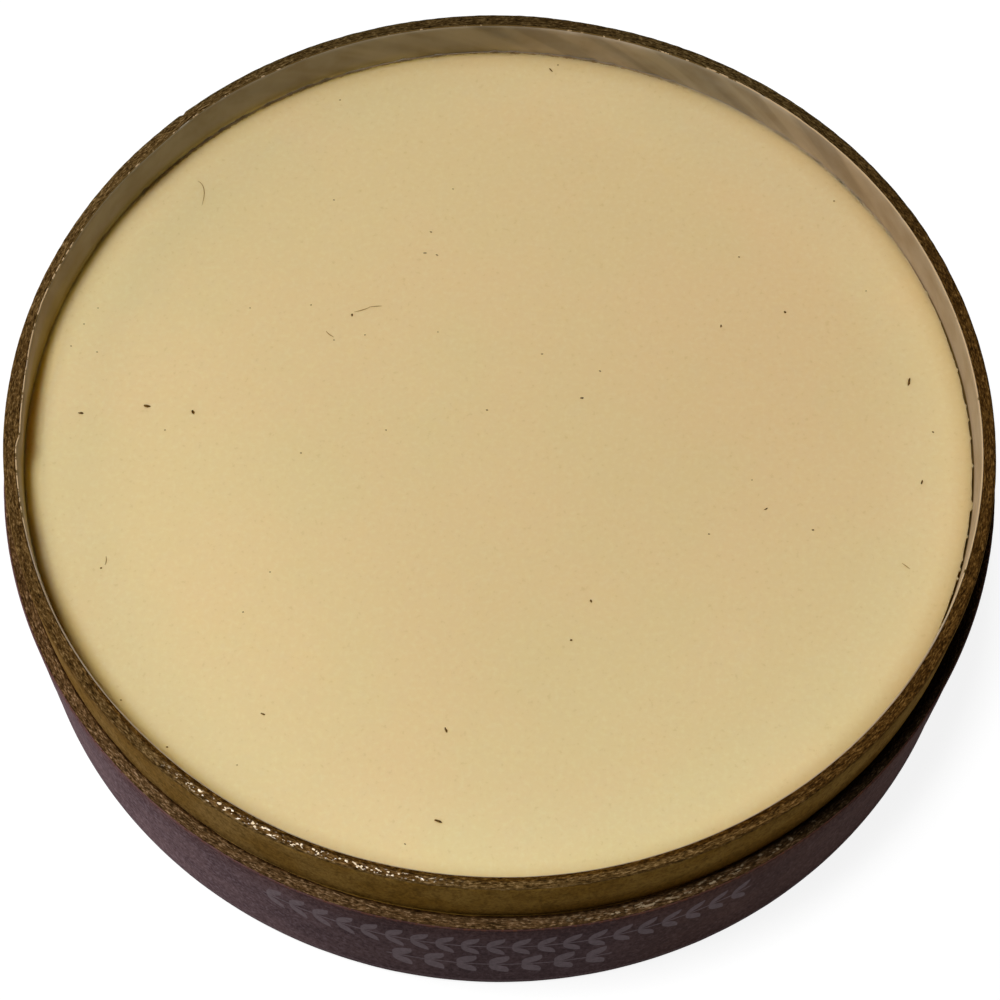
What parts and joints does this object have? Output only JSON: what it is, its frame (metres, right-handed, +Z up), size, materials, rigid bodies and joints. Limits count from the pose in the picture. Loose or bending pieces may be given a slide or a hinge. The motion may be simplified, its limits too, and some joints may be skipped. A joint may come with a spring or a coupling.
{
  "type": "paperboard deodorant tin",
  "caption": "Open round paperboard tub with a dark paper label, a raised neck lined with film, and a flat fill of cream coloured wax.",
  "frame": {"origin": "centre of the foot ring, on the surface the pack stands on", "axes": "+Z up out of the mouth, -Y towards the printed front"},
  "size_m": [0.08, 0.08, 0.0213],
  "materials": {
    "outer_board": "speckled brown chipboard, cut edge",
    "label_paper": "matt printed aubergine paper",
    "base_board": "plain kraft chipboard",
    "neck_board": "smooth brown kraft outside, speckled cut edge",
    "liner_film": "glossy greaseproof film",
    "wax": "satin cream wax with fine dark specks"
  },
  "bodies": {
    "root": {"outer_tube": "outer_board", "label_wrap": "label_paper", "base_disc": "base_board", "base_liner": "liner_film", "neck_tube": "neck_board", "neck_liner": "liner_film", "deodorant_fill": "wax"}
  },
  "joints": []
}
